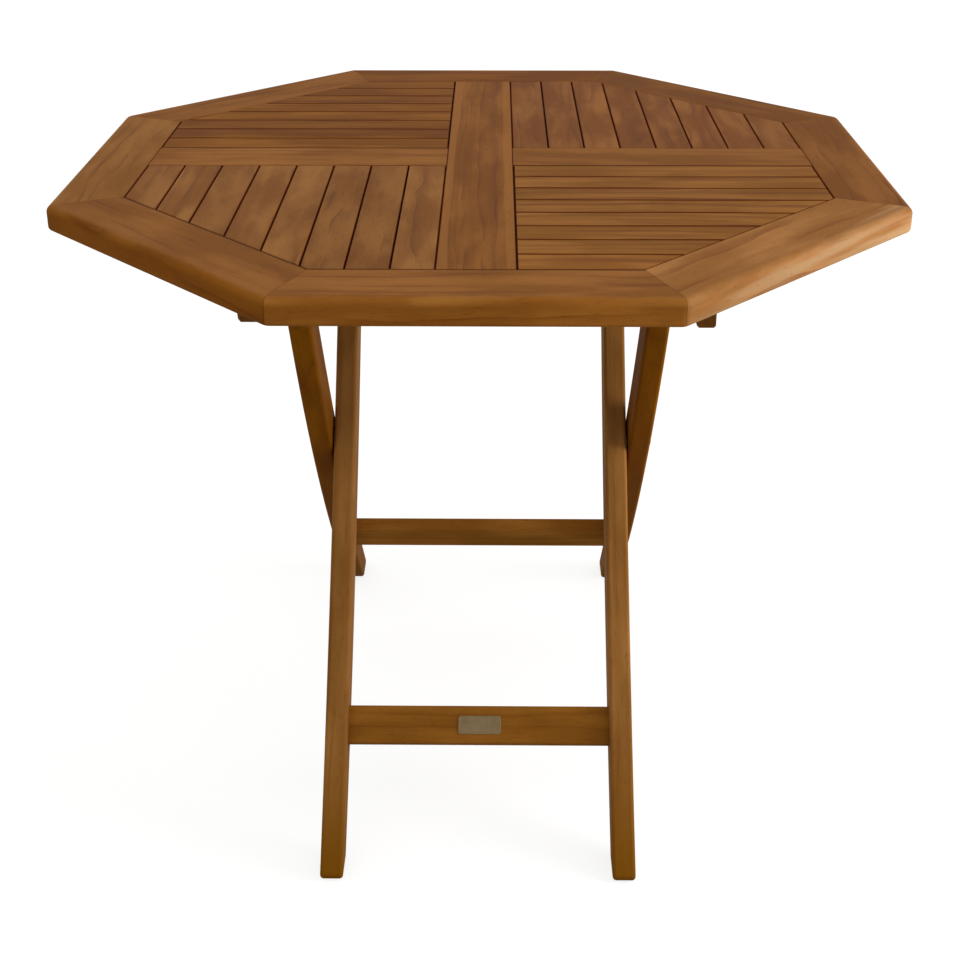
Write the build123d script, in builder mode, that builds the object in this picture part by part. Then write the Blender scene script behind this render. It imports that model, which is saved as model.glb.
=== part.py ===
from build123d import *

import os
from math import cos, hypot, radians, sin, sqrt, tan

# Octagonal folding garden table in teak. Millimetres, +Z up, X across, front edge towards -Y.
# The origin is on the floor under the middle of the top.

# Overall sizes
top_width = 900.0            # across the flats of the octagon
table_height = 750.0
top_thickness = 28.0

# Frame rails of the top
frame_rail_width = 75.0
middle_rail_width = 74.0     # centre rail and cross rails
corner_round = 12.0          # octagon corners, seen from above
edge_round_top = 8.0
edge_round_bottom = 5.0
mitre_gap = 0.4              # hairline between two rails
arris = 0.8                  # broken edge on flat joinery

# Slatted panels
slats_per_panel = 8
slat_thickness = 18.0
slat_gap = 2.0
expansion_gap = 1.8          # open joint along the centre rail and the left and right rails
shoulder_gap = 0.4           # tight joint at all other rails

# Tongues and grooves
tongue_thickness = 8.0
tongue_drop = 6.0            # from the top face down to the tongue
tongue_reach = 10.0          # tongue length inside the rail
tongue_clearance = 0.2       # above and below a tongue
groove_spare = 0.6           # empty depth behind a tongue

# Loose tenons in the mitres
mitre_tenon_width = 34.0
mitre_tenon_length = 40.0
mitre_tenon_thickness = 8.0
mitre_tenon_clearance = 0.15

# Crossed legs, measured in side view
hinge_setback = 200.0        # leg tops, in front of and behind the middle
foot_setback = 328.0         # feet, in front of and behind the middle
hinge_drop = 22.0            # leg top axis below the underside
leg_bow = 28.0               # how far the curve leaves the straight line from top to foot
leg_end_width = 38.0
leg_middle_width = 52.0
leg_thickness = 26.0
leg_round = 4.0
foot_round = 6.0
inner_frame_width = 358.0    # over the outer faces of the inner legs
side_gap = 2.0               # between neighbouring faces that turn on a bolt

# Stretchers
stretcher_width = 44.0       # along the leg
stretcher_thickness = 20.0
stretcher_round = 3.0
front_stretcher_height = 119.0
rear_stretcher_height = 140.0
rear_stretcher_turn = 13.0   # degrees, from the lean of its legs towards upright
stretcher_tenon_length = 14.0
stretcher_tenon_width = 30.0
stretcher_tenon_thickness = 10.0
tenon_clearance = 0.15

# Runners under the top
runner_thickness = 18.0
runner_depth = 38.0
runner_half_length = 355.0
runner_end_round = 14.0
runner_round = 2.0

# Top bar of the inner legs
bar_diameter = 22.0
bar_fit = 0.05
seat_clearance = 0.3
seat_corner_round = 3.0

# Bolts, nuts and washers
bolt_diameter = 8.0
bolt_fit = 0.08
bolt_head_diameter = 16.0
bolt_head_height = 4.0
washer_diameter = 22.0
washer_play = 0.1
sleeve_nut_diameter = 16.0
sleeve_nut_height = 3.0
sleeve_nut_inset = 0.2
insert_diameter = 12.0       # threaded inserts of the pivot bolts, blind in the inner legs
insert_length = 16.0
insert_inset = 0.2
insert_spare = 0.5           # empty depth behind an insert
nut_fit = 0.05
head_round = 2.0
socket_size = 5.0            # hexagon key, across the flats
socket_depth = 2.0

# Screws that hold the runners
screw_head_diameter = 9.0
screw_diameter = 4.5
screw_head_angle = 82.0
screw_bite = 14.0            # length of screw in the rail
screw_fit = 0.1
screw_end_margin = 20.0      # from the end of the runner

# Derived places of the top
underside = table_height - top_thickness
outer_apothem = top_width / 2
inner_apothem = outer_apothem - frame_rail_width
half_middle = middle_rail_width / 2
tongue_top = table_height - tongue_drop
tongue_bottom = tongue_top - tongue_thickness
groove_depth = tongue_reach + groove_spare
groove_bottom = tongue_bottom - tongue_clearance
groove_height = tongue_thickness + 2 * tongue_clearance
half_side_angle = 22.5

# Derived places of the legs, from the middle outwards
inner_leg_face = inner_frame_width / 2 - leg_thickness
outer_leg_face = inner_frame_width / 2 + side_gap
runner_face = outer_leg_face + leg_thickness + side_gap
runner_outer_face = runner_face + runner_thickness
runner_middle = runner_face + runner_thickness / 2
hinge_height = underside - hinge_drop
bolt_hole_radius = bolt_diameter / 2 + bolt_fit
screw_row = runner_half_length - screw_end_margin
pilot_radius = screw_diameter / 2 + screw_fit

# Line from the hinge of the outer legs to the middle of their feet, and its normal,
# which points forward and down, the way the legs bow
chord_y = hinge_setback + foot_setback
chord_length = hypot(chord_y, hinge_height)
along = (chord_y / chord_length, -hinge_height / chord_length)
across = (along[1], -along[0])


def leg_point(distance, offset):
    """Side-view point of an outer leg: distance along the straight line, offset across it."""
    y = -hinge_setback + distance * along[0] + offset * across[0]
    z = hinge_height + distance * along[1] + offset * across[1]
    return (y, z)


# The legs cross on the middle plane, where the curved centre line of a leg passes it
bow_radius = (chord_length**2 / 4 + leg_bow**2) / (2 * leg_bow)
bow_centre_y, bow_centre_z = leg_point(chord_length / 2, leg_bow - bow_radius)
pivot_height = bow_centre_z - sqrt(bow_radius**2 - bow_centre_y**2)


def leg_middle_at(height):
    """Y of an outer leg's centre line at a height."""
    return bow_centre_y - sqrt(bow_radius**2 - (height - bow_centre_z) ** 2)


def leg_lean_at(height):
    """Angle in degrees between an outer leg and the vertical at a height."""
    return Vector(leg_middle_at(height) - bow_centre_y, height - bow_centre_z).get_angle(Vector(-1, 0))


os.makedirs("parts", exist_ok=True)


def save(builder, name):
    """Label a finished piece and write it to its own file."""
    builder.part.label = name
    export_step(builder.part, f"parts/{name}.step")


# Frame of the top: one octagonal ring, grooved inside, cut at its mitres into eight rails
with BuildPart() as frame_ring:
    with BuildSketch(Plane.XY.offset(underside)):
        RegularPolygon(outer_apothem, 8, major_radius=False, rotation=half_side_angle)
        fillet(vertices(), corner_round)
        RegularPolygon(inner_apothem, 8, major_radius=False, rotation=half_side_angle, mode=Mode.SUBTRACT)
    extrude(amount=top_thickness)
    ring_top = faces().sort_by(Axis.Z)[-1]
    fillet(ring_top.outer_wire().edges(), edge_round_top)
    ring_top = faces().sort_by(Axis.Z)[-1]
    chamfer(ring_top.inner_wires()[0].edges(), arris)
    fillet(faces().sort_by(Axis.Z)[0].outer_wire().edges(), edge_round_bottom)
    with BuildSketch(Plane.XY.offset(groove_bottom)):
        RegularPolygon(inner_apothem + groove_depth, 8, major_radius=False, rotation=half_side_angle)
    extrude(amount=groove_height, mode=Mode.SUBTRACT)
    mitre_middle = (inner_apothem + frame_rail_width / 2) / cos(radians(half_side_angle))
    tenon_height = underside + top_thickness / 2
    with Locations((0, 0, tenon_height)):
        with PolarLocations(mitre_middle, 8, start_angle=half_side_angle):
            Box(
                mitre_tenon_width + 2 * mitre_tenon_clearance,
                mitre_tenon_length + 2 * mitre_tenon_clearance,
                mitre_tenon_thickness + 2 * mitre_tenon_clearance,
                mode=Mode.SUBTRACT,
            )
    with BuildSketch(Plane.XY.offset(underside)):
        with GridLocations(2 * runner_middle, 2 * screw_row, 2, 2):
            Circle(pilot_radius)
    extrude(amount=screw_bite, mode=Mode.SUBTRACT)

wedge_reach = 2 * top_width
wedge_tip = mitre_gap / 2 / sin(radians(half_side_angle))
rail_names = (
    "right_rail",
    "back_right_rail",
    "back_rail",
    "back_left_rail",
    "left_rail",
    "front_left_rail",
    "front_rail",
    "front_right_rail",
)
for side, rail_name in enumerate(rail_names):
    wedge_plane = Plane.XY.offset(underside).rotated((0, 0, 45 * side))
    wedge_half = wedge_reach * tan(radians(half_side_angle))
    with BuildPart() as rail:
        add(frame_ring.part)
        with BuildSketch(wedge_plane):
            with BuildLine():
                Polyline(
                    (wedge_tip, 0),
                    (wedge_tip + wedge_reach, -wedge_half),
                    (wedge_tip + wedge_reach, wedge_half),
                    close=True,
                )
            make_face()
        extrude(amount=top_thickness, mode=Mode.INTERSECT)
    save(rail, rail_name)

with BuildPart() as mitre_tenons:
    with Locations((0, 0, tenon_height)):
        with PolarLocations(mitre_middle, 8, start_angle=half_side_angle):
            Box(mitre_tenon_width, mitre_tenon_length, mitre_tenon_thickness)
save(mitre_tenons, "mitre_tenons")

# Centre rail: tongues at both ends, grooves along both sides
centre_rail_length = 2 * (inner_apothem - shoulder_gap)
with BuildPart() as centre_rail:
    with BuildSketch(Plane.XY.offset(underside)):
        Rectangle(middle_rail_width, centre_rail_length)
    extrude(amount=top_thickness)
    chamfer(faces().sort_by(Axis.Z)[-1].edges(), arris)
    with BuildSketch(Plane.XY.offset(groove_bottom)):
        with Locations((-half_middle, 0), (half_middle, 0)):
            Rectangle(2 * groove_depth, centre_rail_length)
    extrude(amount=groove_height, mode=Mode.SUBTRACT)
    with BuildSketch(Plane.XY.offset(tongue_bottom)):
        Rectangle(middle_rail_width - 2 * groove_depth, 2 * (inner_apothem + tongue_reach))
    extrude(amount=tongue_thickness)
save(centre_rail, "centre_rail")

# Cross rails: from the centre rail to the left and right rails
cross_rail_start = half_middle + shoulder_gap
cross_rail_end = inner_apothem - shoulder_gap
for hand, cross_rail_name in ((-1, "left_cross_rail"), (1, "right_cross_rail")):
    cross_rail_length = cross_rail_end - cross_rail_start
    cross_rail_middle = hand * (cross_rail_start + cross_rail_end) / 2
    tongue_span = inner_apothem - half_middle + 2 * tongue_reach
    tongue_centre = hand * (inner_apothem + half_middle) / 2
    with BuildPart() as cross_rail:
        with BuildSketch(Plane.XY.offset(underside)):
            with Locations((cross_rail_middle, 0)):
                Rectangle(cross_rail_length, middle_rail_width)
        extrude(amount=top_thickness)
        chamfer(faces().sort_by(Axis.Z)[-1].edges(), arris)
        with BuildSketch(Plane.XY.offset(groove_bottom)):
            with Locations((cross_rail_middle, -half_middle), (cross_rail_middle, half_middle)):
                Rectangle(cross_rail_length, 2 * groove_depth)
        extrude(amount=groove_height, mode=Mode.SUBTRACT)
        with BuildSketch(Plane.XY.offset(tongue_bottom)):
            with Locations((tongue_centre, 0)):
                Rectangle(tongue_span, middle_rail_width - 2 * groove_depth)
        extrude(amount=tongue_thickness)
        with BuildSketch(Plane.XY.offset(underside)):
            with Locations((hand * runner_middle, 0)):
                Circle(pilot_radius)
        extrude(amount=screw_bite, mode=Mode.SUBTRACT)
    save(cross_rail, cross_rail_name)


def panel_outline(hand_x, hand_y, gap_x, gap_y, gap_diagonal):
    """Corner points of one quarter of the slatted field, kept clear of its rails by the gaps."""
    near_x = half_middle + gap_x
    far_x = inner_apothem - gap_x
    near_y = half_middle + gap_y
    far_y = inner_apothem - gap_y
    diagonal = (inner_apothem - gap_diagonal) * sqrt(2)
    corners = (
        (near_x, near_y),
        (far_x, near_y),
        (far_x, diagonal - far_x),
        (diagonal - far_y, far_y),
        (near_x, far_y),
    )
    return [(hand_x * x, hand_y * y) for x, y in corners]


def slat_strip(first, last, index):
    """Middle and width of one slat when the slats share the span from first to last."""
    width = (last - first - (slats_per_panel - 1) * slat_gap) / slats_per_panel
    return first + width / 2 + index * (width + slat_gap), width


def tongue_strip(middle, width, index):
    """Middle and width of a slat's tongue, which runs on into the rail beside an end slat."""
    near = 0 if index == 0 else middle - width / 2
    far = outer_apothem if index == slats_per_panel - 1 else middle + width / 2
    return (near + far) / 2, far - near


# Slats: strips of each quarter, with tongues that sit in the grooves of all rails round them.
# Panels where the slats run front to back lie across from each other.
panels = (
    ("front_left", -1, -1, True),
    ("front_right", 1, -1, False),
    ("back_left", -1, 1, False),
    ("back_right", 1, 1, True),
)
for panel_name, hand_x, hand_y, runs_along_y in panels:
    face_outline = panel_outline(hand_x, hand_y, expansion_gap, shoulder_gap, shoulder_gap)
    tongue_outline = panel_outline(hand_x, hand_y, -tongue_reach, -tongue_reach, -tongue_reach)
    for index in range(slats_per_panel):
        if runs_along_y:
            first, last = half_middle + expansion_gap, inner_apothem - expansion_gap
            middle, width = slat_strip(first, last, index)
            tongue_at, tongue_width = tongue_strip(middle, width, index)
            strip_middle, strip_size = (hand_x * middle, 0), (width, 2 * top_width)
            tongue_middle, tongue_size = (hand_x * tongue_at, 0), (tongue_width, 2 * top_width)
        else:
            first, last = half_middle + shoulder_gap, inner_apothem - shoulder_gap
            middle, width = slat_strip(first, last, index)
            tongue_at, tongue_width = tongue_strip(middle, width, index)
            strip_middle, strip_size = (0, hand_y * middle), (2 * top_width, width)
            tongue_middle, tongue_size = (0, hand_y * tongue_at), (2 * top_width, tongue_width)
        with BuildPart() as slat:
            with BuildSketch(Plane.XY.offset(table_height - slat_thickness)):
                with BuildLine():
                    Polyline(*face_outline, close=True)
                make_face()
                with Locations(strip_middle):
                    Rectangle(*strip_size, mode=Mode.INTERSECT)
            extrude(amount=slat_thickness)
            chamfer(faces().sort_by(Axis.Z)[-1].edges(), arris)
            with BuildSketch(Plane.XY.offset(tongue_bottom)):
                with BuildLine():
                    Polyline(*tongue_outline, close=True)
                make_face()
                with Locations(tongue_middle):
                    Rectangle(*tongue_size, mode=Mode.INTERSECT)
            extrude(amount=tongue_thickness)
        save(slat, f"{panel_name}_slat_{index + 1}")


def mirrored(points, facing):
    """Side-view points of a leg, turned round for the legs whose feet are in front."""
    return [(facing * y, z) for y, z in points]


def leg_outline(facing):
    """Side view of a leg: round top, two curved edges that swell at the middle, flat foot."""
    half_end = leg_end_width / 2
    half_swell = leg_middle_width / 2
    foot_half = half_end / -along[1]
    top_front, top_end, top_rear = mirrored(
        [leg_point(0, half_end), leg_point(-half_end, 0), leg_point(0, -half_end)], facing
    )
    swell_front, swell_rear = mirrored(
        [
            leg_point(chord_length / 2, leg_bow + half_swell),
            leg_point(chord_length / 2, leg_bow - half_swell),
        ],
        facing,
    )
    foot_front, foot_rear = mirrored([(foot_setback - foot_half, 0), (foot_setback + foot_half, 0)], facing)
    ThreePointArc(top_rear, top_end, top_front)
    ThreePointArc(top_front, swell_front, foot_front)
    Line(foot_front, foot_rear)
    ThreePointArc(foot_rear, swell_rear, top_rear)


def stretcher_plane(facing, height, turn):
    """Plane across a pair of legs: X along the table's +X, Y up along the leg but turned upright."""
    lean = radians(leg_lean_at(height) - turn)
    up_board = Vector(0, -facing * sin(lean), cos(lean))
    origin = (0, facing * leg_middle_at(height), height)
    return Plane(origin=origin, x_dir=(1, 0, 0), z_dir=Vector(1, 0, 0).cross(up_board))


# Legs: the inner pair has its feet in front, the outer pair at the back
rear_plane = stretcher_plane(1, rear_stretcher_height, rear_stretcher_turn)
front_plane = stretcher_plane(-1, front_stretcher_height, 0)
leg_pairs = (
    ("outer", 1, outer_leg_face, rear_plane, bolt_hole_radius),
    ("inner", -1, inner_leg_face, front_plane, bar_diameter / 2 + bar_fit),
)
for pair_name, facing, near_face, board_plane, top_hole_radius in leg_pairs:
    for hand, hand_name in ((-1, "left"), (1, "right")):
        inside = hand * near_face
        outside = hand * (near_face + leg_thickness)
        leg_plane = Plane.YZ.offset(min(inside, outside))
        with BuildPart() as leg:
            with BuildSketch(leg_plane):
                with BuildLine():
                    leg_outline(facing)
                make_face()
                fillet(vertices().group_by(Axis.Z)[0], foot_round)
            extrude(amount=leg_thickness)
            fillet(faces().filter_by(Axis.X).edges(), leg_round)
            with BuildSketch(leg_plane):
                with Locations((-facing * hinge_setback, hinge_height)):
                    Circle(top_hole_radius)
                if pair_name == "outer":
                    with Locations((0, pivot_height)):
                        Circle(bolt_hole_radius)
            extrude(amount=leg_thickness, mode=Mode.SUBTRACT)
            with BuildSketch(board_plane):
                with Locations((inside, 0)):
                    Rectangle(
                        2 * (stretcher_tenon_length + tenon_clearance),
                        stretcher_tenon_width + 2 * tenon_clearance,
                    )
            extrude(
                amount=stretcher_tenon_thickness / 2 + tenon_clearance, both=True, mode=Mode.SUBTRACT
            )
            if pair_name == "outer":
                nut_plane = Plane.YZ.offset(inside)
                with BuildSketch(nut_plane):
                    with Locations((-facing * hinge_setback, hinge_height)):
                        Circle(sleeve_nut_diameter / 2 + nut_fit)
                extrude(amount=hand * (sleeve_nut_height + sleeve_nut_inset), mode=Mode.SUBTRACT)
            else:
                with BuildSketch(Plane.YZ.offset(outside)):
                    with Locations((0, pivot_height)):
                        Circle(insert_diameter / 2 + nut_fit)
                extrude(amount=-hand * (insert_inset + insert_length + insert_spare), mode=Mode.SUBTRACT)
        save(leg, f"{hand_name}_{pair_name}_leg")

# Stretchers: boards between the legs of a pair, tenoned into them
stretchers = (
    ("front_stretcher", inner_leg_face, front_plane),
    ("rear_stretcher", outer_leg_face, rear_plane),
)
for stretcher_name, leg_face, board_plane in stretchers:
    with BuildPart() as stretcher:
        with BuildSketch(board_plane):
            Rectangle(2 * leg_face, stretcher_width)
        extrude(amount=stretcher_thickness / 2, both=True)
        fillet(edges().filter_by(Axis.X), stretcher_round)
        with BuildSketch(board_plane):
            Rectangle(2 * (leg_face + stretcher_tenon_length), stretcher_tenon_width)
        extrude(amount=stretcher_tenon_thickness / 2, both=True)
    save(stretcher, stretcher_name)

# Top bar: a dowel through the tops of the inner legs that reaches under both runners
with BuildPart() as top_bar:
    with BuildSketch(Plane.YZ.offset(-runner_outer_face)):
        with Locations((hinge_setback, hinge_height)):
            Circle(bar_diameter / 2)
    extrude(amount=2 * runner_outer_face)
    chamfer(edges(), arris)
save(top_bar, "top_bar")

# Runners: the deep front part carries the hinge bolts and ends in a shoulder that the top bar
# rests against, the shallow rear part is the seat above the bar and lets it slide back
seat_roof = hinge_height + bar_diameter / 2 + seat_clearance
seat_shoulder = hinge_setback - bar_diameter / 2 - seat_clearance
runner_bottom = underside - runner_depth


def screw_seats(hand):
    """Planes of one runner's screw heads, on its lower face and facing down."""
    places = ((-screw_row, runner_bottom), (0, runner_bottom), (screw_row, seat_roof))
    return [Plane((hand * runner_middle, y, z), z_dir=(0, 0, -1)) for y, z in places]


for hand, runner_name in ((-1, "left_runner"), (1, "right_runner")):
    runner_plane = Plane.YZ.offset(min(hand * runner_face, hand * runner_outer_face))
    with BuildPart() as runner:
        with BuildSketch(runner_plane):
            with BuildLine():
                Polyline(
                    (-runner_half_length, underside),
                    (-runner_half_length, runner_bottom),
                    (seat_shoulder, runner_bottom),
                    (seat_shoulder, seat_roof),
                    (runner_half_length, seat_roof),
                    (runner_half_length, underside),
                    close=True,
                )
            make_face()
            lower_corners = vertices().group_by(Axis.Z)[0].sort_by(Axis.Y)
            fillet(lower_corners[0], runner_end_round)
            fillet(lower_corners[-1], seat_corner_round)
        extrude(amount=runner_thickness)
        chamfer(edges().filter_by(Axis.Y).group_by(Axis.Z)[0], runner_round)
        with BuildSketch(runner_plane):
            with Locations((-hinge_setback, hinge_height)):
                Circle(bolt_hole_radius)
        extrude(amount=runner_thickness, mode=Mode.SUBTRACT)
        with Locations(*screw_seats(hand)):
            CounterSinkHole(
                pilot_radius,
                screw_head_diameter / 2 + screw_fit,
                depth=runner_depth,
                counter_sink_angle=screw_head_angle,
            )
    save(runner, runner_name)

# Countersunk screws, from the runners up into the frame and the cross rails
screw_head_height = (screw_head_diameter - screw_diameter) / 2 / tan(radians(screw_head_angle / 2))
with BuildPart() as runner_screws:
    for hand in (-1, 1):
        for seat in screw_seats(hand):
            screw_length = underside + screw_bite - screw_fit - seat.origin.Z
            screw_side = Plane(seat.origin, x_dir=(1, 0, 0), z_dir=(0, -1, 0))
            with BuildSketch(screw_side):
                with BuildLine():
                    Polyline(
                        (0, 0),
                        (screw_head_diameter / 2, 0),
                        (screw_diameter / 2, screw_head_height),
                        (screw_diameter / 2, screw_length),
                        (0, screw_length),
                        close=True,
                    )
                make_face()
            revolve(axis=Axis(seat.origin, (0, 0, 1)))
save(runner_screws, "runner_screws")


def socket_bolts(name, head_face, tip_face, axis_y, axis_z):
    """A left and a right bolt along X: round head on the outer face, shank inwards to the tip."""
    with BuildPart() as bolts:
        for hand in (-1, 1):
            face_plane = Plane.YZ.offset(hand * head_face)
            crown_plane = Plane.YZ.offset(hand * (head_face + bolt_head_height))
            with BuildSketch(face_plane):
                with Locations((axis_y, axis_z)):
                    Circle(bolt_head_diameter / 2)
            extrude(amount=hand * bolt_head_height)
            crown = faces().sort_by(lambda face: hand * face.center().X)[-1]
            fillet(crown.edges(), head_round)
            with BuildSketch(crown_plane):
                with Locations((axis_y, axis_z)):
                    RegularPolygon(socket_size / 2, 6, major_radius=False)
            extrude(amount=-hand * socket_depth, mode=Mode.SUBTRACT)
            with BuildSketch(face_plane):
                with Locations((axis_y, axis_z)):
                    Circle(bolt_diameter / 2)
            extrude(amount=-hand * (head_face - tip_face))
    save(bolts, name)


def ring_pairs(name, thickness, outer_diameter, bore_radius, places):
    """Left and right rings round axes along X, each place a face, measured outwards, with y and z."""
    with BuildPart() as ring_group:
        for hand in (-1, 1):
            for from_face, axis_y, axis_z in places:
                with BuildSketch(Plane.YZ.offset(hand * from_face)):
                    with Locations((axis_y, axis_z)):
                        Circle(outer_diameter / 2)
                        Circle(bore_radius, mode=Mode.SUBTRACT)
                extrude(amount=hand * thickness)
    save(ring_group, name)


# Hinge of the outer legs: bolts through the runners, held by sleeve nuts sunk in the legs
nut_bore_radius = bolt_diameter / 2 + nut_fit
nut_face = outer_leg_face + sleeve_nut_inset
socket_bolts("hinge_bolts", runner_outer_face, nut_face, -hinge_setback, hinge_height)
ring_pairs(
    "hinge_nuts",
    sleeve_nut_height,
    sleeve_nut_diameter,
    nut_bore_radius,
    [(nut_face, -hinge_setback, hinge_height)],
)

# Scissor pivot: bolts through the outer legs into threaded inserts in the inner legs
insert_end = inner_frame_width / 2 - insert_inset - insert_length
socket_bolts("pivot_bolts", outer_leg_face + leg_thickness, insert_end, 0, pivot_height)
ring_pairs("pivot_inserts", insert_length, insert_diameter, nut_bore_radius, [(insert_end, 0, pivot_height)])

# Washers that keep the turning faces apart
washer_thickness = side_gap - washer_play
ring_pairs(
    "spacer_washers",
    washer_thickness,
    washer_diameter,
    bolt_hole_radius,
    [
        (outer_leg_face + leg_thickness, -hinge_setback, hinge_height),
        (outer_leg_face - washer_thickness, 0, pivot_height),
    ],
)
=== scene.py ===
"""Octagonal folding garden table in oiled teak.

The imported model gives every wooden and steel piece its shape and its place. This script gives the
pieces their finishes, adds the bare plate on the front stretcher, and sets the studio and camera.
"""

import logging
import math
import random
from dataclasses import dataclass, field, replace
from enum import Enum
from functools import partial

import bpy
import numpy as np
from mathutils import Matrix, Vector


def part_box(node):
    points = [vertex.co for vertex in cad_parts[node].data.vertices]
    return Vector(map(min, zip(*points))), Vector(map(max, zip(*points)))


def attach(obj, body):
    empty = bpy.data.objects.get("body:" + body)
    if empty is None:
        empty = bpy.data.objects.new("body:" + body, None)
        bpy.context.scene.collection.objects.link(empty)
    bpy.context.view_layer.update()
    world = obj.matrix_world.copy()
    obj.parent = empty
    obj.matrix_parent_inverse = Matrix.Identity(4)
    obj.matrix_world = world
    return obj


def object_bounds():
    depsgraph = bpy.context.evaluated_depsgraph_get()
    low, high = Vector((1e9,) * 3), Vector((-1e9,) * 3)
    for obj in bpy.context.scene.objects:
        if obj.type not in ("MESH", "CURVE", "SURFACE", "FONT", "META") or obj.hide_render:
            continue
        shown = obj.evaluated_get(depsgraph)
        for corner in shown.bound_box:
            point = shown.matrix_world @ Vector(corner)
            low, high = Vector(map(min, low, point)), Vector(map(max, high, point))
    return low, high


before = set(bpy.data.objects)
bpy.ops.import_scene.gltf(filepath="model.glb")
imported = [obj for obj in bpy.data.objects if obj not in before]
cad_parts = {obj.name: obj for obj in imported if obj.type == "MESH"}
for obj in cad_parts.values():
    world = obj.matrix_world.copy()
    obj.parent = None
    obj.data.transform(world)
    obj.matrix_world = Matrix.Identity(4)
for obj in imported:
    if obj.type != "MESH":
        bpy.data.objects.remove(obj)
CAD_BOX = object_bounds()

LOG = logging.getLogger("garden_table")
MM = 0.001
UP = (0.0, 0.0, 1.0)
AHEAD = (0.0, 1.0, 0.0)
ASIDE = (1.0, 0.0, 0.0)
WHITE = (1.0, 1.0, 1.0, 1.0)
AMOUNT, UNDER, OVER = 0, 6, 7  # sockets of a Mix node that lays one colour over another
COLOURS = {"data_type": "RGBA"}
SMOOTH = {"interpolation_type": "SMOOTHSTEP"}
AT_SIZE = {"vector_type": "TEXTURE"}

Colour = tuple[float, float, float, float]
Direction = tuple[float, float, float]
Node = bpy.types.Node
Tree = bpy.types.NodeTree


def linear(code: str) -> Colour:
    """Turn an sRGB hex value into a linear colour, channel by channel along the sRGB curve.

    Args:
        code: The colour as "#RRGGBB".

    Returns:
        Linear red, green and blue, and an alpha of 1.
    """
    channels = np.array([int(code[start : start + 2], 16) for start in (1, 3, 5)]) / 255
    curve = np.where(channels <= 0.04045, channels / 12.92, ((channels + 0.055) / 1.055) ** 2.4)
    return (*curve.tolist(), 1.0)


def add_node(
    tree: Tree, kind: str, inputs: dict[str | int, object] | None = None, **settings: object
) -> Node:
    """Add one node with its settings, its fixed inputs and its links.

    Args:
        tree: The node tree of a material or of the world.
        kind: Blender's name for the node type, without its "ShaderNode".
        inputs: Socket names or numbers, each with a value, with the output that feeds it, or with
            the node whose first output in use feeds it.
        **settings: Properties of the node itself.

    Returns:
        The new node.
    """
    node = tree.nodes.new(f"ShaderNode{kind}")
    for name, value in settings.items():
        setattr(node, name, value)
    for socket, value in (inputs or {}).items():
        if isinstance(value, Node):
            value = next(output for output in value.outputs if output.enabled)
        if isinstance(value, bpy.types.NodeSocket):
            tree.links.new(value, node.inputs[socket])
        else:
            node.inputs[socket].default_value = value
    return node


def new_material(name: str) -> tuple[bpy.types.Material, Tree]:
    """Make a material with an empty node tree.

    Args:
        name: The finish, and the piece that wears it.

    Returns:
        The material and its node tree.
    """
    material = bpy.data.materials.new(name)
    material.use_nodes = True
    material.node_tree.nodes.clear()
    return material, material.node_tree


def dress(node: str, material: bpy.types.Material) -> None:
    """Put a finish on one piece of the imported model, through its material slots."""
    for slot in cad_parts[node].material_slots:
        slot.material = material
    LOG.info("%s: %s", node, material.name)


def make_piece(name: str, points: np.ndarray, faces: list[list[int]]) -> bpy.types.Object:
    """Make a mesh object at the origin from whole arrays.

    Args:
        name: The piece's name.
        points: Vertex places in metres, one row each.
        faces: Vertex numbers of each face, anticlockwise seen from outside.

    Returns:
        The object, linked to the scene.
    """
    mesh = bpy.data.meshes.new(name)
    mesh.from_pydata(points.tolist(), [], faces)
    mesh.update()
    piece = bpy.data.objects.new(name, mesh)
    bpy.context.scene.collection.objects.link(piece)
    return piece


class Tone(Enum):
    """Colour of a board against its neighbours: how much red, green and blue it sends back."""

    # paler and bluer: partly painted key light, for the front-right rail
    PALE_LIT = (1.41, 1.58, 2.05)
    HONEY = (1.09, 1.10, 1.11)
    MIDDLE = (1.0, 1.0, 1.0)
    RUSSET = (0.92, 0.90, 0.88)
    UMBER = (0.82, 0.79, 0.74)
    DARK = (0.71, 0.70, 0.69)
    SIENNA = (1.10, 1.03, 0.68)
    TAWNY = (0.98, 0.91, 0.60)
    AUBURN = (0.80, 0.72, 0.50)
    # lighter and bluer: painted key light on the inner legs
    OLIVE_LIT = (1.16, 1.36, 1.65)
    AMBER = (1.25, 1.32, 0.95)
    GOLDEN = (0.97, 1.0, 0.62)
    # painted shade, for the rim face of the front-left rail
    EMBER_SHADE = (0.84, 0.74, 0.42)
    FAWN = (1.22, 1.19, 1.25)
    STRAW = (1.05, 1.14, 1.20)
    RUDDY = (0.94, 0.86, 0.86)
    COPPER = (1.02, 0.93, 0.92)
    # nearly no blue: painted warm shade on the outer legs
    BRONZE_SHADE = (0.86, 0.76, 0.12)


class Cut(Enum):
    """How a board lay in the log: mm sideways and down to the pith, and its lean in degrees."""

    FLAT = (12.0, 46.0, 2.6)
    RIFT = (70.0, 70.0, 1.2)
    QUARTER = (190.0, 24.0, 0.7)


class Gaps(Enum):
    """Which edges stand in the gaps of the top, mm down to the first and full painted shade, its
    colour.
    """

    NONE = ("no edge", 0.0, 0.0, "")
    INNER = ("inner edge", 0.3, 1.1, "#742600")
    ALL = ("all edges", 0.3, 1.1, "#742600")
    # painted shade that reaches up onto the arris and onto the face
    SHADED_TO_FACE = ("all edges, up onto the arris", 0.08, 0.48, "#541A00")


@dataclass(frozen=True)
class LogPlace:
    """Where a board lay in its log, which makes its figure its own."""

    shift: Vector  # metres, to a stretch of the patterns that no other board has
    side: float    # mm to the pith, sideways
    depth: float   # mm to the pith, down
    lean: float    # radians between the board and the pith
    growth: float  # ring spacing against the usual
    slant: float   # degrees, of the clouds


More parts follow.
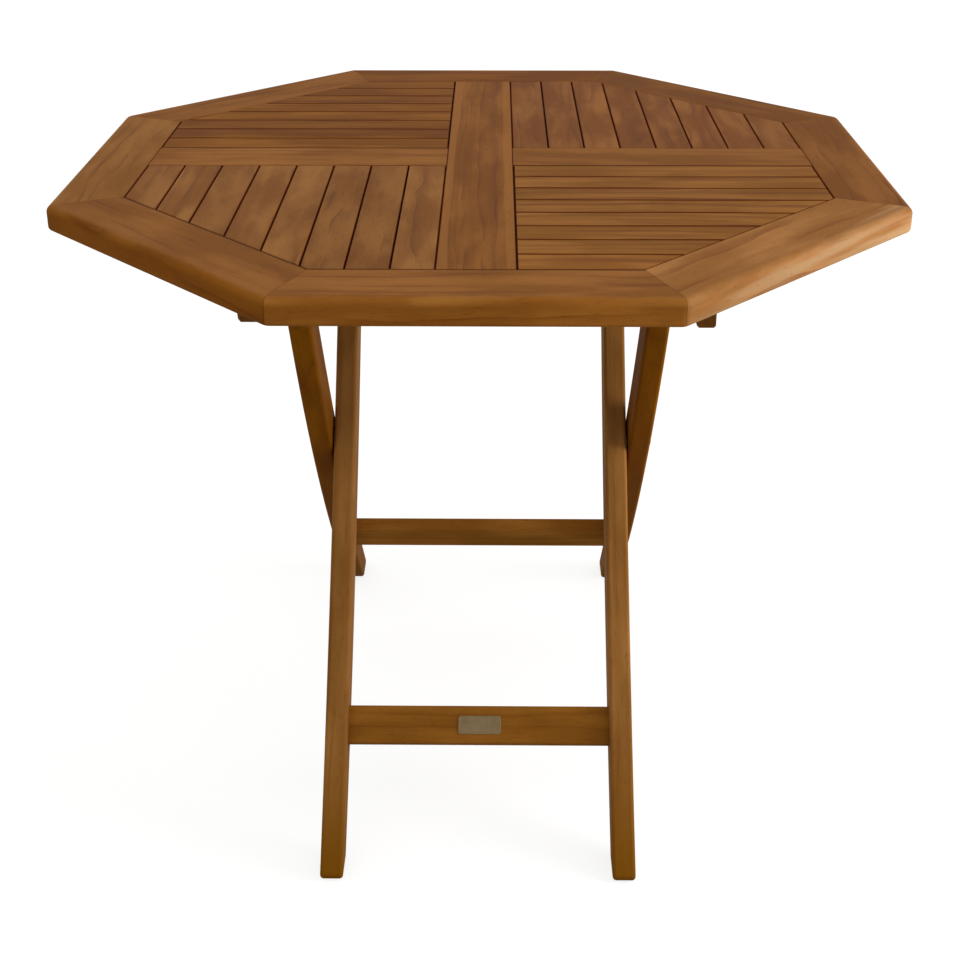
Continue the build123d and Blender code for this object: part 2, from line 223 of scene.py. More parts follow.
@dataclass(frozen=True)
class Board:
    """One sawn piece of teak and the way its grain lies."""

    node: str
    along: Direction
    face: Direction = UP
    cut: Cut = Cut.RIFT
    tone: Tone = Tone.MIDDLE
    gaps: Gaps = Gaps.NONE
    rim_light_tone: Tone = Tone.MIDDLE  # painted light and shade on the outer rim face, against the face
    joint: float = 0.0        # mm across the board from its middle to a stained joint, or none
    sapwood: float = 0.0      # mm of pale sapwood, partly painted key light, left along the outer edge
    light_sides: float = 0.0  # mm of lighter wood along both long edges
    dark_foot: float = 0.0         # mm up from the floor that is darker

    def turn(self) -> Matrix:
        """Rotation that brings the grain onto X, the board's width onto Y and its face onto Z."""
        grain, face = Vector(self.along).normalized(), Vector(self.face).normalized()
        return Matrix((grain, face.cross(grain), face))

    def middle(self) -> Vector:
        """Middle of the board's box at rest."""
        low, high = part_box(self.node)
        return (low + high) / 2

    def half(self) -> Vector:
        """Half the size of the board's box at rest."""
        low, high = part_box(self.node)
        return (high - low) / 2

    def rim(self) -> float:
        """Place of the top's outer edge across the board, in metres from the board's middle."""
        return -CAD_BOX[1].x - (self.turn() @ self.middle()).y

    def log_place(self) -> LogPlace:
        """Draw where the board lay in its log, seeded by the board's name."""
        rng = random.Random(self.node)
        shift = Vector((rng.uniform(-9, 9), rng.uniform(-3, 3), rng.uniform(-3, 3)))
        side, depth, lean = self.cut.value
        side *= rng.choice((-1, 1)) * rng.uniform(0.7, 1.3)
        depth *= rng.uniform(0.8, 1.3)
        lean = math.radians(lean) * rng.choice((-1, 1)) * rng.uniform(0.6, 1.3)
        return LogPlace(shift, side, depth, lean, rng.uniform(0.8, 1.4), rng.uniform(-5.0, 5.0))


@dataclass(frozen=True)
class Marks:
    """Size of a noise pattern: mm along the grain and across it, detail, slant in degrees."""

    length: float
    width: float
    detail: float
    slant: float = 0.0

    def mapping(self) -> dict[str, Direction]:
        """Inputs of a Mapping node that draws the pattern at its real size."""
        return {
            "Scale": (self.length * MM, self.width * MM, self.width * MM),
            "Rotation": (0.0, 0.0, math.radians(-self.slant)),
        }


@dataclass(frozen=True)
class Ramp:
    """Limits of a MapRange node: where its result leaves 0, where it is full, and how strong."""

    start: float
    full: float
    strength: float = 1.0

    def inputs(self, value: Node | bpy.types.NodeSocket) -> dict[str, object]:
        """Inputs of the MapRange node for the value that it looks at."""
        limits = {"From Min": self.start, "From Max": self.full, "To Max": self.strength}
        return {"Value": value, **limits}


@dataclass(frozen=True)
class Grain:
    """The nodes that all layers of one board's finish share."""

    board: Board
    log: LogPlace
    tree: Tree
    place: bpy.types.NodeSocket               # in the table's frame
    on_board: Node                            # from the board's middle, X along the grain
    across: bpy.types.bpy_prop_collection     # X, Y and Z on the board
    noise: dict[str, Node]                    # each noise pattern by name


@dataclass(frozen=True)
class TeakFinish:
    """Solid teak, planed, sanded and oiled.

    The eye sees warm brown heartwood in soft clouds and growth bands, a few sharper ring lines,
    and short dark pores. Oil leaves a low satin sheen, duller in the open early wood. Painted
    shade darkens the sides of the narrow gaps, and an outer edge may keep a strip of sapwood that
    is partly painted key light.
    """

    name: str
    early_wood: str = "#945E2A"
    heart_wood: str = "#804E1E"
    late_wood: str = "#68360B"
    # pale sapwood, partly painted key light
    sapwood_and_light: str = "#AE885F"
    # paler edge: wear and a painted highlight
    worn_lit_wood: str = "#9C6C3C"
    pore: str = "#371B08"
    # painted warm light on the rim faces of the frame
    rim_light_tint: str = "#FFFACC"
    dark_foot_wood: str = "#734600"
    joint_stain: str = "#301403"
    ring_spacing: float = 13.0     # mm between sharp ring lines
    ring_strength: float = 0.70
    ring_sharpness: float = 4.0
    ring_fade: Ramp = Ramp(0.40, 0.62)
    ring_bend: float = 30.0        # mm that the slow drift bends the rings
    log_taper: float = 0.02        # how little a step along the log counts as a step outwards
    side_lean: float = 0.5         # sideways lean to the pith, against the lean down to it
    band_width: float = 13.0       # mm, soft bands between the lines
    band_detail: float = 2.0
    band_strength: float = 0.36
    band_limits: Ramp = Ramp(0.42, 0.78)
    fibre_limits: Ramp = Ramp(0.5, 0.85, 0.22)
    darkest: float = 0.95
    cloud_limits: Ramp = Ramp(0.36, 0.62)
    pore_limits: Ramp = Ramp(0.60, 0.76, 0.28)
    relief_strength: float = 0.2
    relief_depth: float = 0.25     # mm
    side_wander: float = 12.0      # mm that the limit of the lighter sides wanders
    side_blur: float = 1.0         # mm
    side_strength: float = 0.6
    sap_wander: float = 20.0       # mm that the limit of the sapwood wanders
    sap_blur: float = 6.0          # mm
    sap_strength: float = 0.9
    sap_taper: float = 0.13        # slope of the limit of the sapwood against the edge
    streak_limits: Ramp = Ramp(0.70, 0.36)
    dark_foot_wander: float = 40.0      # mm that the height of the darker foot wanders
    dark_foot_strength: float = 0.92
    worn_lit_width: Ramp = Ramp(10.0, 4.0, 0.45)  # mm from the edge, of the wear and painted highlight
    worn_lit_limits: Ramp = Ramp(0.35, 0.65)
    rim_light_width: Ramp = Ramp(8.0, 1.0)        # mm from the rim, of the painted warm light
    # painted shade in the gaps: its strength, and how far it reaches onto the face
    gap_shade_strength: float = 0.88
    shade_reach: float = 2.8       # mm that the painted shade reaches from a gap onto the face
    shade_strength: float = 0.75
    shade_limits: Ramp = Ramp(0.36, 0.6)
    joint_reach: tuple[float, float] = (3.7, 1.7)  # mm from a joint to faint and full stain
    joint_strength: float = 0.85
    drift: Marks = Marks(240.0, 60.0, 2.0)
    fade: Marks = Marks(130.0, 30.0, 1.0)
    clouds: Marks = Marks(150.0, 46.0, 3.0)
    fibres: Marks = Marks(90.0, 2.2, 3.0)  # wider than the real half millimetre, to show
    pores: Marks = Marks(11.0, 1.1, 1.0)   # wider than the real fifth of a millimetre, to show
    wear: Marks = Marks(70.0, 20.0, 3.0)
    sap_limit: Marks = Marks(160.0, 12.0, 1.0)
    sap_streaks: Marks = Marks(210.0, 14.0, 2.0, -3.0)
    gap_depth: tuple[float, float] = (13.0, 16.0)  # mm below the face where the painted shade ends
    roughness: tuple[float, float] = (0.70, 0.54)  # dull early wood, satin late wood
    sheen_level: float = 0.04
    refraction: float = 1.47

    def tinted(self, code: str, tone: Tone) -> Colour:
        """Linear colour of one part of the wood on a board of the given tone."""
        tint = np.array(linear(code)) * np.array((*tone.value, 1.0))
        return tuple(tint.tolist())

    def material(self, board: Board) -> bpy.types.Material:
        """Make the finish for one board, with the pattern turned to its grain.

        Args:
            board: The piece of wood.

        Returns:
            The material.
        """
        material, tree = new_material(f"{self.name}_{board.node}")
        node = partial(add_node, tree)
        grain = self.lay_grain(tree, board)
        dark = self.ring_figure(grain)
        wood = self.heartwood(grain, dark)
        if board.light_sides:
            wood = self.lighten_sides(grain, wood)
        if board.sapwood:
            wood = self.leave_sapwood_and_light(grain, wood)
        if board.dark_foot:
            wood = self.darken_foot(grain, wood)
        pores = node("MapRange", self.pore_limits.inputs(grain.noise["pores"]), **SMOOTH)
        pore = self.tinted(self.pore, board.tone)
        wood = node("Mix", {AMOUNT: pores, UNDER: wood, OVER: pore}, **COLOURS)
        # wear and painted highlight along the frame's outer edge, and painted warm light on its rim
        # face
        if board.gaps is Gaps.INNER:
            wood = self.wear_and_light_edge(grain, wood)
        if board.joint:
            wood = self.stain_joint(grain, wood)
        # painted shade in the gaps between boards
        if board.gaps is not Gaps.NONE:
            wood = self.paint_gap_shade(grain, wood)
        dull, satin = self.roughness
        gloss = node("MapRange", {"Value": dark, "To Min": dull, "To Max": satin})
        relief = node("Math", {0: grain.noise["fibres"], 1: pores}, operation="SUBTRACT")
        depth = {"Strength": self.relief_strength, "Distance": self.relief_depth * MM}
        bump = node("Bump", {"Height": relief, **depth})
        shader = node(
            "BsdfPrincipled",
            {
                "Base Color": wood,
                "Roughness": gloss,
                "Normal": bump,
                "IOR": self.refraction,
                "Specular IOR Level": self.sheen_level,
            },
        )
        node("OutputMaterial", {"Surface": shader})
        return material

    def lay_grain(self, tree: Tree, board: Board) -> Grain:
        """Place the board's patterns: turned to its grain, then moved to its place in the log.

        Args:
            tree: The material's node tree.
            board: The piece of wood.

        Returns:
            The nodes that the layers of the finish share.
        """
        node = partial(add_node, tree)
        log = board.log_place()
        turn = board.turn()
        place = node("TexCoord").outputs["Object"]
        on_board = node(
            "Mapping",
            {"Vector": place, "Rotation": turn.to_euler(), "Location": -(turn @ board.middle())},
        )
        in_log = node("VectorMath", {0: on_board, 1: log.shift}, operation="ADD")
        marks = {
            "drift": self.drift,
            "fade": self.fade,
            "clouds": replace(self.clouds, slant=log.slant),
            "fibres": self.fibres,
            "pores": self.pores,
        }
        if board.sapwood:
            marks |= {"sap_limit": self.sap_limit, "sap_streaks": self.sap_streaks}
        if board.gaps is Gaps.INNER:
            marks["wear"] = self.wear
        noise = {
            name: node(
                "TexNoise",
                {
                    "Vector": node("Mapping", {"Vector": in_log, **mark.mapping()}, **AT_SIZE),
                    "Scale": 1.0,
                    "Detail": mark.detail,
                },
            )
            for name, mark in marks.items()
        }
        across = node("SeparateXYZ", {"Vector": on_board}).outputs
        return Grain(board, log, tree, place, on_board, across, noise)

    def ring_figure(self, grain: Grain) -> Node:
        """Work out how dark the late wood makes each place.

        The distance from the pith, bent by a slow drift along the board, is cut into rings. Each
        ring ends in a sharp line that fades in and out, and soft bands of uneven width lie
        between the lines. A board near the pith shows arches, one far from it straight bands.

        Args:
            grain: The board's shared nodes.

        Returns:
            A value from 0, early wood, to nearly 1, late wood.
        """
        node = partial(add_node, grain.tree)
        log = grain.log
        from_pith = node(
            "Mapping",
            {
                "Vector": grain.on_board,
                "Rotation": (0.0, log.lean, log.lean * self.side_lean),
                "Location": (0.0, log.side * MM, log.depth * MM),
                "Scale": (self.log_taper, 1.0, 1.0),
            },
        )
        radius = node("VectorMath", {0: from_pith}, operation="LENGTH")
        radius = node("Math", {0: radius, 1: 1 / MM}, operation="MULTIPLY")
        bent = {0: grain.noise["drift"], 1: self.ring_bend, 2: radius}
        radius = node("Math", bent, operation="MULTIPLY_ADD")
        rings = node("Math", {0: radius, 1: self.ring_spacing * log.growth}, operation="DIVIDE")
        rise = node("Math", {0: rings}, operation="FRACT")
        sharp = node("Math", {0: rise, 1: self.ring_sharpness}, operation="POWER")
        fade_limits = replace(self.ring_fade, strength=self.ring_strength)
        fade = node("MapRange", fade_limits.inputs(grain.noise["fade"]), **SMOOTH)
        bands = node(
            "TexNoise",
            {
                "W": node("Math", {0: radius, 1: self.band_width}, operation="DIVIDE"),
                "Scale": 1.0,
                "Detail": self.band_detail,
            },
            noise_dimensions="1D",
        )
        band_limits = replace(self.band_limits, strength=self.band_strength)
        soft = node("MapRange", band_limits.inputs(bands), **SMOOTH)
        fine = node("MapRange", self.fibre_limits.inputs(grain.noise["fibres"]), **SMOOTH)
        dark = node("Math", {0: sharp, 1: fade, 2: soft}, operation="MULTIPLY_ADD")
        dark = node("Math", {0: dark, 1: fine}, operation="ADD")
        return node("Math", {0: dark, 1: self.darkest}, operation="MINIMUM")

    def heartwood(self, grain: Grain, dark: Node) -> Node:
        """Colour the heartwood: clouds of two browns under the darker late wood.

        Args:
            grain: The board's shared nodes.
            dark: How dark the late wood makes each place.

        Returns:
            The colour.
        """
        node = partial(add_node, grain.tree)
        early, heart, late = (
            self.tinted(code, grain.board.tone)
            for code in (self.early_wood, self.heart_wood, self.late_wood)
        )
        clouds = node("MapRange", self.cloud_limits.inputs(grain.noise["clouds"]), **SMOOTH)
        wood = node("Mix", {AMOUNT: clouds, UNDER: early, OVER: heart}, **COLOURS)
        return node("Mix", {AMOUNT: dark, UNDER: wood, OVER: late}, **COLOURS)

    def lighten_sides(self, grain: Grain, wood: Node) -> Node:
        """Lay lighter wood along both long edges of a wide board glued up from two logs.

        Args:
            grain: The board's shared nodes.
            wood: The colour so far.

        Returns:
            The colour.
        """
        node = partial(add_node, grain.tree)
        outwards = node("Math", {0: grain.across["Y"]}, operation="ABSOLUTE")
        wander = {0: grain.noise["drift"], 1: self.side_wander * MM, 2: outwards}
        reach = node("Math", wander, operation="MULTIPLY_ADD")
        limit = grain.board.half().x + (self.side_wander / 2 - grain.board.light_sides) * MM
        blur = self.side_blur * MM
        beyond = Ramp(limit - blur, limit + blur, self.side_strength)
        lighter = node("MapRange", beyond.inputs(reach), **SMOOTH)
        honey = self.tinted(self.early_wood, Tone.HONEY)
        return node("Mix", {AMOUNT: lighter, UNDER: wood, OVER: honey}, **COLOURS)

    def leave_sapwood_and_light(self, grain: Grain, wood: Node) -> Node:
        """Leave pale sapwood with brown streaks, partly painted key light, up to the board's outer
        edge.

        Args:
            grain: The board's shared nodes.
            wood: The colour so far.

        Returns:
            The colour.
        """
        node = partial(add_node, grain.tree)
        wander = {0: grain.noise["sap_limit"], 1: self.sap_wander * MM, 2: grain.across["Y"]}
        inwards = node("Math", wander, operation="MULTIPLY_ADD")
        inwards = node("Math", {0: grain.across["Z"], 1: inwards}, operation="ADD")
        slope = {0: grain.across["X"], 1: -self.sap_taper, 2: inwards}
        inwards = node("Math", slope, operation="MULTIPLY_ADD")
        limit = grain.board.rim() + (grain.board.sapwood + self.sap_wander / 2) * MM
        blur = self.sap_blur * MM
        within = Ramp(limit + blur, limit - blur, self.sap_strength)
        pale = node("MapRange", within.inputs(inwards), **SMOOTH)
        streaks = node("MapRange", self.streak_limits.inputs(grain.noise["sap_streaks"]), **SMOOTH)
        amount = node("Math", {0: pale, 1: streaks}, operation="MULTIPLY")
        # pale sapwood, partly painted key light
        return node("Mix", {AMOUNT: amount, UNDER: wood, OVER: linear(self.sapwood_and_light)}, **COLOURS)

    def darken_foot(self, grain: Grain, wood: Node) -> Node:
        """Darken a foot, to a deeper brown towards the floor.

        Args:
            grain: The board's shared nodes.
            wood: The colour so far.

        Returns:
            The colour.
        """
        node = partial(add_node, grain.tree)
        upward = node("SeparateXYZ", {"Vector": grain.place}).outputs["Z"]
        wander = {0: grain.noise["clouds"], 1: self.dark_foot_wander * MM, 2: upward}
        level = node("Math", wander, operation="MULTIPLY_ADD")
        floor = self.dark_foot_wander / 2 * MM
        rising = Ramp(floor + grain.board.dark_foot * MM, floor, self.dark_foot_strength)
        darker_foot = node("MapRange", rising.inputs(level), **SMOOTH)
        return node("Mix", {AMOUNT: darker_foot, UNDER: wood, OVER: linear(self.dark_foot_wood)}, **COLOURS)

    def wear_and_light_edge(self, grain: Grain, wood: Node) -> Node:
        """Pale the rounded outer edge of the frame, where hands and cloths wear it, with a painted
        highlight.

        Below that edge the rim face gets a painted warm light, on all but sapwood.

        Args:
            grain: The board's shared nodes.
            wood: The colour so far.

        Returns:
            The colour.
        """
        node = partial(add_node, grain.tree)
        inwards = node("Math", {0: grain.across["Y"], 1: grain.board.rim()}, operation="SUBTRACT")
        under = node("Math", {0: grain.across["Z"], 1: grain.board.half().z}, operation="SUBTRACT")
        square = node("Math", {0: under, 1: under}, operation="MULTIPLY")
        square = node("Math", {0: inwards, 1: inwards, 2: square}, operation="MULTIPLY_ADD")
        from_edge = node("Math", {0: square}, operation="SQRT")
        from_edge = node("Math", {0: from_edge, 1: 1 / MM}, operation="MULTIPLY")
        # wear and a painted highlight along the rounded outer edge
        near = node("MapRange", self.worn_lit_width.inputs(from_edge), **SMOOTH)
        patchy = node("MapRange", self.worn_lit_limits.inputs(grain.noise["wear"]), **SMOOTH)
        worn_lit = node("Math", {0: near, 1: patchy}, operation="MULTIPLY")
        paler = self.tinted(self.worn_lit_wood, grain.board.tone)
        wood = node("Mix", {AMOUNT: worn_lit, UNDER: wood, OVER: paler}, **COLOURS)
        if grain.board.sapwood:
            return wood
        # painted warm light on the rim face, in the rail's rim light tone
        from_rim = node("Math", {0: inwards, 1: 1 / MM}, operation="MULTIPLY")
        rim = node("MapRange", self.rim_light_width.inputs(from_rim), **SMOOTH)
        oiled = self.tinted(self.rim_light_tint, grain.board.rim_light_tone)
        tint = {AMOUNT: rim, UNDER: wood, OVER: oiled}
        return node("Mix", tint, blend_type="MULTIPLY", **COLOURS)

    def stain_joint(self, grain: Grain, wood: Node) -> Node:
        """Draw the dark line that dust and oil leave on the face along a tight joint.

        Args:
            grain: The board's shared nodes.
            wood: The colour so far.

        Returns:
            The colour.
        """
        node = partial(add_node, grain.tree)
        joint = grain.board.joint
        faint, full = (joint - math.copysign(reach, joint) for reach in self.joint_reach)
        towards = Ramp(faint * MM, full * MM, self.joint_strength)
        line = node("MapRange", towards.inputs(grain.across["Y"]), **SMOOTH)
        return node("Mix", {AMOUNT: line, UNDER: wood, OVER: linear(self.joint_stain)}, **COLOURS)

    def paint_gap_shade(self, grain: Grain, wood: Node) -> Node:
        """Paint shade on the edges, from just below the face to the bottom of the gap.

        Where the gaps are shaded to the face, the painted shade also reaches onto the face here and
        there.

        Args:
            grain: The board's shared nodes.
            wood: The colour so far.

        Returns:
            The colour.
        """
        node = partial(add_node, grain.tree)
        face = grain.board.half().z
        _, first, full, gap_shade = grain.board.gaps.value
        bottom, end = self.gap_depth
        downwards = Ramp(face - first * MM, face - full * MM, self.gap_shade_strength)
        upwards = Ramp(face - end * MM, face - bottom * MM)
        shaded_below_face = node("MapRange", downwards.inputs(grain.across["Z"]), **SMOOTH)
        in_gap = node("MapRange", upwards.inputs(grain.across["Z"]), **SMOOTH)
        below = node("Math", {0: shaded_below_face, 1: in_gap}, operation="MULTIPLY")
        if grain.board.gaps is Gaps.INNER:
            inside = node("Math", {0: grain.across["Y"], 1: 0.0}, operation="GREATER_THAN")
            below = node("Math", {0: below, 1: inside}, operation="MULTIPLY")
        if grain.board.gaps is Gaps.SHADED_TO_FACE:
            edge = abs((grain.board.turn() @ grain.board.half()).y)
            outwards = node("Math", {0: grain.across["Y"]}, operation="ABSOLUTE")
            near_edge = Ramp(edge - self.shade_reach * MM, edge, self.shade_strength)
            beside = node("MapRange", near_edge.inputs(outwards), **SMOOTH)
            uneven = node("MapRange", self.shade_limits.inputs(grain.noise["fade"]), **SMOOTH)
            shade_on_face = node("Math", {0: beside, 1: uneven}, operation="MULTIPLY")
            below = node("Math", {0: below, 1: shade_on_face}, operation="MAXIMUM")
        # painted shade in the gaps, darkest below the face
        return node("Mix", {AMOUNT: below, UNDER: wood, OVER: linear(gap_shade)}, **COLOURS)


@dataclass(frozen=True)
class SteelFinish:
    """Stainless steel, turned and satin polished.

    The eye sees a soft grey metal with fine tool lines and faint cloudy handling marks.
    """

    name: str = "satin_stainless_steel"
    bright: str = "#8E8C88"
    dull: str = "#6A6762"
    tool_lines: Marks = Marks(0.5, 17.0, 2.0)  # coarser than real, to show
    handling: Marks = Marks(4.5, 4.5, 3.0)
    roughness: tuple[float, float] = (0.46, 0.64)
    relief_strength: float = 0.15
    relief_depth: float = 0.1  # mm

    def material(self) -> bpy.types.Material:
        """Make the finish, shared by all bolts, nuts, washers and screws."""
        material, tree = new_material(self.name)
        node = partial(add_node, tree)
        place = node("TexCoord").outputs["Object"]
        lines, handled = (
            node(
                "TexNoise",
                {
                    "Vector": node("Mapping", {"Vector": place, **marks.mapping()}, **AT_SIZE),
                    "Scale": 1.0,
                    "Detail": marks.detail,
                },
            )
            for marks in (self.tool_lines, self.handling)
        )
        metal = node(
            "Mix",
            {AMOUNT: handled, UNDER: linear(self.bright), OVER: linear(self.dull)},
            **COLOURS,
        )
        smooth, rough = self.roughness
        gloss = node("MapRange", {"Value": lines, "To Min": smooth, "To Max": rough})
        depth = {"Strength": self.relief_strength, "Distance": self.relief_depth * MM}
        bump = node("Bump", {"Height": lines, **depth})
        shader = node(
            "BsdfPrincipled",
            {"Base Color": metal, "Roughness": gloss, "Normal": bump, "Metallic": 1.0},
        )
        node("OutputMaterial", {"Surface": shader})
        return material


@dataclass(frozen=True)
class PlateFinish:
    """Aluminium sheet, anodised in a dull champagne colour.

    The eye sees a flat beige grey with a very fine brushed line along the plate and slight
    weathering in soft patches.
    """

    name: str = "champagne_anodised_aluminium"
    clean: str = "#806B47"
    weathered: str = "#6E5935"
    brush_lines: Marks = Marks(25.0, 0.6, 2.0)  # coarser than real, to show
    weathering: Marks = Marks(11.0, 11.0, 4.0)
    line_share: float = 0.4  # of the brush lines in the weathering
    weather_limits: Ramp = Ramp(0.5, 0.95)
    roughness: tuple[float, float] = (0.38, 0.55)
    relief_strength: float = 0.12
    relief_depth: float = 0.1  # mm
    metallic: float = 0.35     # the coloured oxide hides most of the metal

    def material(self) -> bpy.types.Material:
        """Make the finish of the bare plate."""
        material, tree = new_material(self.name)
        node = partial(add_node, tree)
        place = node("TexCoord").outputs["Object"]
        lines, patches = (
            node(
                "TexNoise",
                {
                    "Vector": node("Mapping", {"Vector": place, **marks.mapping()}, **AT_SIZE),
                    "Scale": 1.0,
                    "Detail": marks.detail,
                },
            )
            for marks in (self.brush_lines, self.weathering)
        )
        mixed = {0: lines, 1: self.line_share, 2: patches}
        uneven = node("Math", mixed, operation="MULTIPLY_ADD")
        weather = node("MapRange", self.weather_limits.inputs(uneven))
        coat = node(
            "Mix",
            {AMOUNT: weather, UNDER: linear(self.clean), OVER: linear(self.weathered)},
            **COLOURS,
        )
        smooth, rough = self.roughness
        gloss = node("MapRange", {"Value": lines, "To Min": smooth, "To Max": rough})
        depth = {"Strength": self.relief_strength, "Distance": self.relief_depth * MM}
        bump = node("Bump", {"Height": lines, **depth})
        shader = node(
            "BsdfPrincipled",
            {"Base Color": coat, "Roughness": gloss, "Normal": bump, "Metallic": self.metallic},
        )
        node("OutputMaterial", {"Surface": shader})
        return material


FRAME_TEAK = TeakFinish("oiled_teak_frame", early_wood="#945F2C", heart_wood="#804F20")
SLAT_TEAK = TeakFinish(
    "oiled_teak_slat",
    early_wood="#956433",
    heart_wood="#7D4E25",
    late_wood="#623710",
    ring_spacing=11.0,
)
STRIPED_TEAK = TeakFinish(
    "oiled_striped_teak_slat",
    early_wood="#93602A",
    heart_wood="#7F501E",
    ring_spacing=11.0,
    ring_strength=0.8,
    band_width=10.0,
    band_strength=0.52,
)
LEG_TEAK = TeakFinish("oiled_teak_leg", ring_strength=0.40, sheen_level=0.03)


@dataclass(frozen=True)
class Quarter:
    """One slatted quarter of the top, its slats sawn from a mix of boards."""

    name: str
    along: Direction
    tones: tuple[Tone, ...]
    cuts: tuple[Cut, ...]
    gaps: Gaps
    finish: TeakFinish
    slats: int = 8

    def boards(self) -> list[Board]:
        """List the slats with their grain, each with a seeded choice of tone and cut."""
        listed = []
        for number in range(1, self.slats + 1):
            node = f"{self.name}_slat_{number}"
            pick = random.Random(f"{node} board").choice
            cut, tone = pick(self.cuts), pick(self.tones)
            listed.append(Board(node, self.along, cut=cut, tone=tone, gaps=self.gaps))
        return listed


@dataclass
class OctagonTop:
    """The top: eight mitred rails, a centre rail, two cross rails, four slatted quarters."""

    rails: dict[str, Tone] = field(
        default_factory=lambda: {
            "right_rail": Tone.RUSSET,
            "back_right_rail": Tone.UMBER,
            "back_rail": Tone.AUBURN,
            "back_left_rail": Tone.RUSSET,
            "left_rail": Tone.STRAW,
            "front_left_rail": Tone.MIDDLE,
            "front_rail": Tone.HONEY,
            # paler tone, partly painted key light
            "front_right_rail": Tone.PALE_LIT,
        }
    )
    # painted light on the front rail's rim face, painted shade on the front-left rail's
    rim_lights: dict[str, Tone] = field(
        default_factory=lambda: {"front_rail": Tone.FAWN, "front_left_rail": Tone.EMBER_SHADE}
    )
    stained: tuple[str, ...] = ("front_rail", "front_left_rail")  # along the inner edge
    rail_width: float = 75.0       # mm
    half_cross_rail: float = 37.0  # mm
    sapwood: dict[str, float] = field(default_factory=lambda: {"front_right_rail": 13.0})  # mm, pale sapwood and painted key light
    light_sides: float = 10.0  # mm, on the centre rail
    quarters: tuple[Quarter, ...] = (
        Quarter(
            "front_left",
            AHEAD,
            (Tone.HONEY, Tone.RUSSET, Tone.RUSSET, Tone.HONEY, Tone.MIDDLE),
            (Cut.FLAT, Cut.RIFT),
            Gaps.ALL,
            SLAT_TEAK,
        ),
        Quarter(
            "front_right",
            ASIDE,
            (Tone.MIDDLE, Tone.HONEY, Tone.HONEY, Tone.FAWN, Tone.HONEY),
            (Cut.RIFT, Cut.QUARTER),
            Gaps.SHADED_TO_FACE,
            STRIPED_TEAK,
        ),
        Quarter(
            "back_left",
            ASIDE,
            (Tone.SIENNA, Tone.TAWNY, Tone.AUBURN, Tone.AUBURN),
            (Cut.RIFT, Cut.QUARTER),
            Gaps.SHADED_TO_FACE,
            STRIPED_TEAK,
        ),
        Quarter(
            "back_right",
            AHEAD,
            (Tone.RUDDY, Tone.COPPER, Tone.COPPER, Tone.RUDDY),
            (Cut.FLAT, Cut.RIFT),
            Gaps.ALL,
            SLAT_TEAK,
        ),
    )

    def frame_boards(self) -> list[Board]:
        """List the boards of the frame: each rail's grain runs along its side of the octagon."""
        listed = []
        for side, (rail, tone) in enumerate(self.rails.items()):
            angle = math.tau * side / len(self.rails) + math.pi / 2
            along = (math.cos(angle), math.sin(angle), 0.0)
            board = Board(rail, along, tone=tone, gaps=Gaps.INNER)
            sapwood, rim_light_tone = self.sapwood.get(rail, 0.0), self.rim_lights.get(rail, Tone.MIDDLE)
            joint = board.rim() / MM + self.rail_width if rail in self.stained else 0.0
            listed.append(replace(board, sapwood=sapwood, rim_light_tone=rim_light_tone, joint=joint))
        centre = Board("centre_rail", AHEAD, UP, Cut.QUARTER, Tone.RUSSET, Gaps.ALL)
        left_cross = Board("left_cross_rail", ASIDE, UP, Cut.QUARTER, Tone.HONEY, Gaps.SHADED_TO_FACE)
        return listed + [
            replace(centre, light_sides=self.light_sides),
            replace(left_cross, joint=self.half_cross_rail),
            Board("right_cross_rail", ASIDE, gaps=Gaps.SHADED_TO_FACE, joint=-self.half_cross_rail),
            Board("mitre_tenons", ASIDE),
        ]

    def dress(self) -> None:
        """Give every board of the top its own teak."""
        for board in self.frame_boards():
            dress(board.node, FRAME_TEAK.material(board))
        for quarter in self.quarters:
            for board in quarter.boards():
                dress(board.node, quarter.finish.material(board))


@dataclass
class CrossedLegs:
    """Two crossed leg frames with stretchers and top bar, and the runners that they hang from."""

    run: float = 528.0   # mm, from the top of a leg to its foot, front to back
    rise: float = 700.0  # mm, from the foot to the top of a leg
    dark_foot: float = 150.0  # mm up from the floor

    def boards(self) -> list[Board]:
        """List the legs, stretchers, bar and runners with their grain."""
        back = (0.0, self.run, -self.rise)
        forward = (0.0, -self.run, -self.rise)
        return [
            # outer legs: painted warm shade in their tone
            Board("left_outer_leg", back, ASIDE, Cut.QUARTER, Tone.BRONZE_SHADE, dark_foot=self.dark_foot),
            Board("right_outer_leg", back, ASIDE, Cut.QUARTER, Tone.BRONZE_SHADE, dark_foot=self.dark_foot),
            # inner legs: painted key light in their tone
            Board("left_inner_leg", forward, ASIDE, Cut.RIFT, Tone.OLIVE_LIT, dark_foot=self.dark_foot),
            Board("right_inner_leg", forward, ASIDE, Cut.FLAT, Tone.OLIVE_LIT, dark_foot=self.dark_foot),
            Board("front_stretcher", ASIDE, (0.0, -self.rise, self.run), Cut.RIFT, Tone.GOLDEN),
            Board("rear_stretcher", ASIDE, (0.0, self.rise, self.run), Cut.RIFT, Tone.AMBER),
            Board("top_bar", ASIDE, UP, Cut.QUARTER, Tone.MIDDLE),
            Board("left_runner", AHEAD, ASIDE, Cut.RIFT, Tone.DARK),
            Board("right_runner", AHEAD, ASIDE, Cut.RIFT, Tone.DARK),
        ]

    def dress(self) -> None:
        """Give every board of the legs its own teak."""
        for board in self.boards():
            dress(board.node, LEG_TEAK.material(board))


@dataclass
class Hardware:
    """Bolts, nuts, inserts, washers and screws."""

    groups: tuple[str, ...] = (
        "hinge_bolts",
        "hinge_nuts",
        "pivot_bolts",
        "pivot_inserts",
        "spacer_washers",
        "runner_screws",
    )
    finish: SteelFinish = SteelFinish()

    def dress(self) -> None:
        """Give all hardware the same steel."""
        steel = self.finish.material()
        for group in self.groups:
            dress(group, steel)


